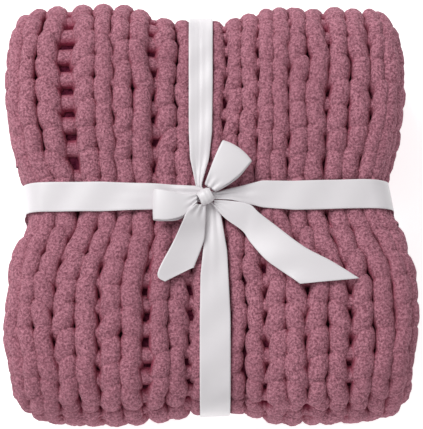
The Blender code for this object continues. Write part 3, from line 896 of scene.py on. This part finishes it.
# each tail's two edges as seen from the knot, the height of each over the stitches
tails = {
    "bow_tail_left": [
        (-0.0015, -0.0063, 0.0060, -0.0100, -0.0062, 0.0120),
        (-0.0017, -0.0190, 0.0050, -0.0180, -0.0133, 0.0126),
        (-0.0022, -0.0260, 0.0042, -0.0215, -0.0205, 0.0126),
        (-0.0035, -0.0379, 0.0032, -0.0302, -0.0385, 0.0050),
        (-0.0112, -0.0585, 0.0022, -0.0433, -0.0658, 0.0018),
        (-0.0118, -0.0603, 0.0022, -0.0370, -0.0734, 0.0018)],
    "bow_tail_right": [
        (0.0053, -0.0015, 0.0045, 0.0052, -0.0063, 0.0045),
        (0.0200, -0.0020, 0.0037, 0.0150, -0.0175, 0.0037),
        (0.0365, -0.0050, 0.0036, 0.0300, -0.0285, 0.0030),
        (0.0455, -0.0125, 0.0040, 0.0365, -0.0385, 0.0030),
        (0.0600, -0.0240, 0.0026, 0.0490, -0.0540, 0.0026),
        (0.0830, -0.0430, 0.0020, 0.0620, -0.0640, 0.0020),
        (0.1060, -0.0562, 0.0018, 0.0710, -0.0705, 0.0018),
        (0.1277, -0.0710, 0.0014, 0.0774, -0.0755, 0.0014)],
}
bow = {
    "parts": 8,              # steps between two rows
    "crown": 0.0012,         # how far a loop's two faces arch
    "crownFull": 0.02,       # this far from the knot
    "loopGather": 0.012,     # the length that is gathered at the knot
    "tailGather": 0.014,
    "ripple": 0.0008,        # of the tails: height, turns, and where it is full
    "rippleTurns": (110, 1.2, 0.0),
    "rippleFull": 0.03,
}


def runLength(grid):
    # the length along the middle of a sheet, at each of its rows
    middle = grid[:, grid.shape[1] // 2]
    return np.concatenate([[0], np.cumsum(np.linalg.norm(np.diff(middle, axis=0), axis=1))])


def bowLoop(name, pieceName):
    spec = loops[name]
    angle = math.radians(spec["angle"])
    outward = np.array([math.cos(angle), math.sin(angle)])
    sideways = np.array([math.sin(angle), -math.cos(angle)])
    rows = catmull(np.array([spec["rows"]]), bow["parts"])[0]
    reach, drift, height, width = (rows[:, column, None] for column in range(4))
    middleX = spec["start"][0] + outward[0] * reach + sideways[0] * drift
    middleY = spec["start"][1] + outward[1] * reach + sideways[1] * drift
    level = tied(middleX, middleY, np.full_like(middleX, fold["height"]))[..., 2] + height
    end = (reach / reach.max()) ** 4 * spec["round"] * (1 - across ** 2)
    x = middleX + sideways[0] * across * width / 2 + outward[0] * end
    y = middleY + sideways[1] * across * width / 2 + outward[1] * end
    # under on the way out, over on the way back
    side = np.cos(np.linspace(0, math.pi, len(rows)))[:, None]
    gather = np.clip(1 - reach / bow["loopGather"], 0, 1)
    arch = bow["crown"] * (1 - across ** 2) * np.clip(reach / bow["crownFull"], 0, 1)
    folds = pleats(gather, across, start=0.7) * ribbon["bowPleat"]
    z = level + ribbon["middle"] - side * arch + folds
    grid = np.stack([x + fold["middle"].x, y + fold["middle"].y, z + 0 * x], -1)
    run = runLength(grid)
    return sheetPiece(pieceName, grid, run, False, name, run[-1])


def bowTail(name, pieceName):
    rows = catmull(np.array([tails[name]]), bow["parts"])[0][:, :, None]
    share = (across + 1) / 2
    x, y, height = (rows[:, column] + (rows[:, column + 3] - rows[:, column]) * share
                    for column in range(3))
    place = tied(x, y, np.full_like(x, fold["height"]))
    run = runLength(place)
    along = run[:, None]
    gather = np.clip(1 - along / bow["tailGather"], 0, 1)
    ripple = waves(bow["ripple"], along, across, bow["rippleTurns"])
    ripple = ripple * np.clip(along / bow["rippleFull"], 0, 1)
    place[..., 2] += height + ribbon["middle"] + ripple
    place[..., 2] += pleats(gather, across, start=0.2) * ribbon["bowPleat"]
    return sheetPiece(pieceName, place, run, False, name, run[-1])


bowLoop("bow_loop_left", "bowLoopLeft")
bowLoop("bow_loop_right", "bowLoopRight")
bowTail("bow_tail_left", "bowTailLeft")
bowTail("bow_tail_right", "bowTailRight")

# the knot: the last wrap of the ribbon, drawn into folds, open where the bow comes out of it
knot = {
    "halfX": 0.0066, "halfY": 0.0067, "halfZ": 0.0046,
    "turn": 28,              # degrees
    "rings": 40,             # rows round the knot
    "waist": 0.22,           # thinner at its open ends by this share
    "narrow": 0.12,          # and narrower over the top and underneath
    "pleat": 0.03, "pleats": 3.2, "pleatStart": 0.5,
}


def bowKnot():
    low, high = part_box("ribbon_knot")
    middle = (np.array(low) + np.array(high)) / 2
    turn = np.linspace(0, 2 * math.pi, knot["rings"], endpoint=False)[:, None]
    folds = np.cos(across * math.pi * knot["pleats"] + knot["pleatStart"])
    pinch = 1 - knot["waist"] * across ** 2 + knot["pleat"] * folds
    x = across * knot["halfX"] * (1 - knot["narrow"] * np.abs(np.sin(turn)))
    y = knot["halfY"] * np.cos(turn) * pinch
    z = knot["halfZ"] * np.sin(turn) * pinch
    swing = math.radians(knot["turn"])
    grid = np.stack([middle[0] + x * math.cos(swing) - y * math.sin(swing),
                     middle[1] + x * math.sin(swing) + y * math.cos(swing), middle[2] + z], -1)
    run = runLength(grid)
    return sheetPiece("bowKnot", grid, run, True, "ribbon_knot", run[-1])


bowKnot()

# camera, a step away and a little in front
view = {
    "distance": 1.15,
    "elevation": 79.5,       # degrees
    "target": Vector((0, 0.002, 0.085)),
    "lens": 105.7,
    "sensor": 36,
    "shift": 0.0035,
    "nearest": 0.02,
}
up = math.radians(view["elevation"])
camera = bpy.data.objects.new("camera", bpy.data.cameras.new("camera"))
scene.collection.objects.link(camera)
camera.location = view["target"] + view["distance"] * Vector((0, -math.cos(up), math.sin(up)))
camera.rotation_euler = (view["target"] - camera.location).to_track_quat("-Z", "Y").to_euler()
camera.data.lens = view["lens"]
camera.data.sensor_fit = "HORIZONTAL"
camera.data.sensor_width = view["sensor"]
camera.data.shift_x = view["shift"]
camera.data.clip_start = view["nearest"]
scene.camera = camera

# studio: white floor, one broad light from behind on the left, a weak one from the front
studio = {
    "sky": 0.36,
    "paper": (0.92, 0.92, 0.92, 1),
    "paperGlow": 0.68,
    "paperSize": 8,
    "paperAt": -0.0012,      # just under the bundle
}
world = bpy.data.worlds.new("studio")
world.use_nodes = True
sky = world.node_tree.nodes["Background"]
sky.inputs["Color"].default_value = (1, 1, 1, 1)
sky.inputs["Strength"].default_value = studio["sky"]
scene.world = world
# position, aim, size, power
lights = {
    "window": ((-0.9, 1.0, 1.6), (0, 0, 0.1), 1.1, 25),
    "front": ((-0.5, -1.3, 1.2), (0, 0, 0.1), 1.0, 4),
}
for name, (spot, aim, size, power) in lights.items():
    lamp = bpy.data.objects.new(name, bpy.data.lights.new(name, "AREA"))
    scene.collection.objects.link(lamp)
    lamp.location = spot
    lamp.rotation_euler = (Vector(aim) - Vector(spot)).to_track_quat("-Z", "Y").to_euler()
    lamp.data.size = size
    lamp.data.energy = power
bpy.ops.object.select_all(action="DESELECT")
bpy.ops.mesh.primitive_plane_add(size=studio["paperSize"], location=(0, 0, studio["paperAt"]))
floor = bpy.context.object
floor.name = "floor"
floorMaterial, _, _, floorShader = newMaterial("white paper", 0.9)
floorShader.inputs["Base Color"].default_value = studio["paper"]
floorShader.inputs["Emission Color"].default_value = (1, 1, 1, 1)
floorShader.inputs["Emission Strength"].default_value = studio["paperGlow"]
floor.data.materials.append(floorMaterial)
scene.view_settings.view_transform = "Standard"
print("studio set")
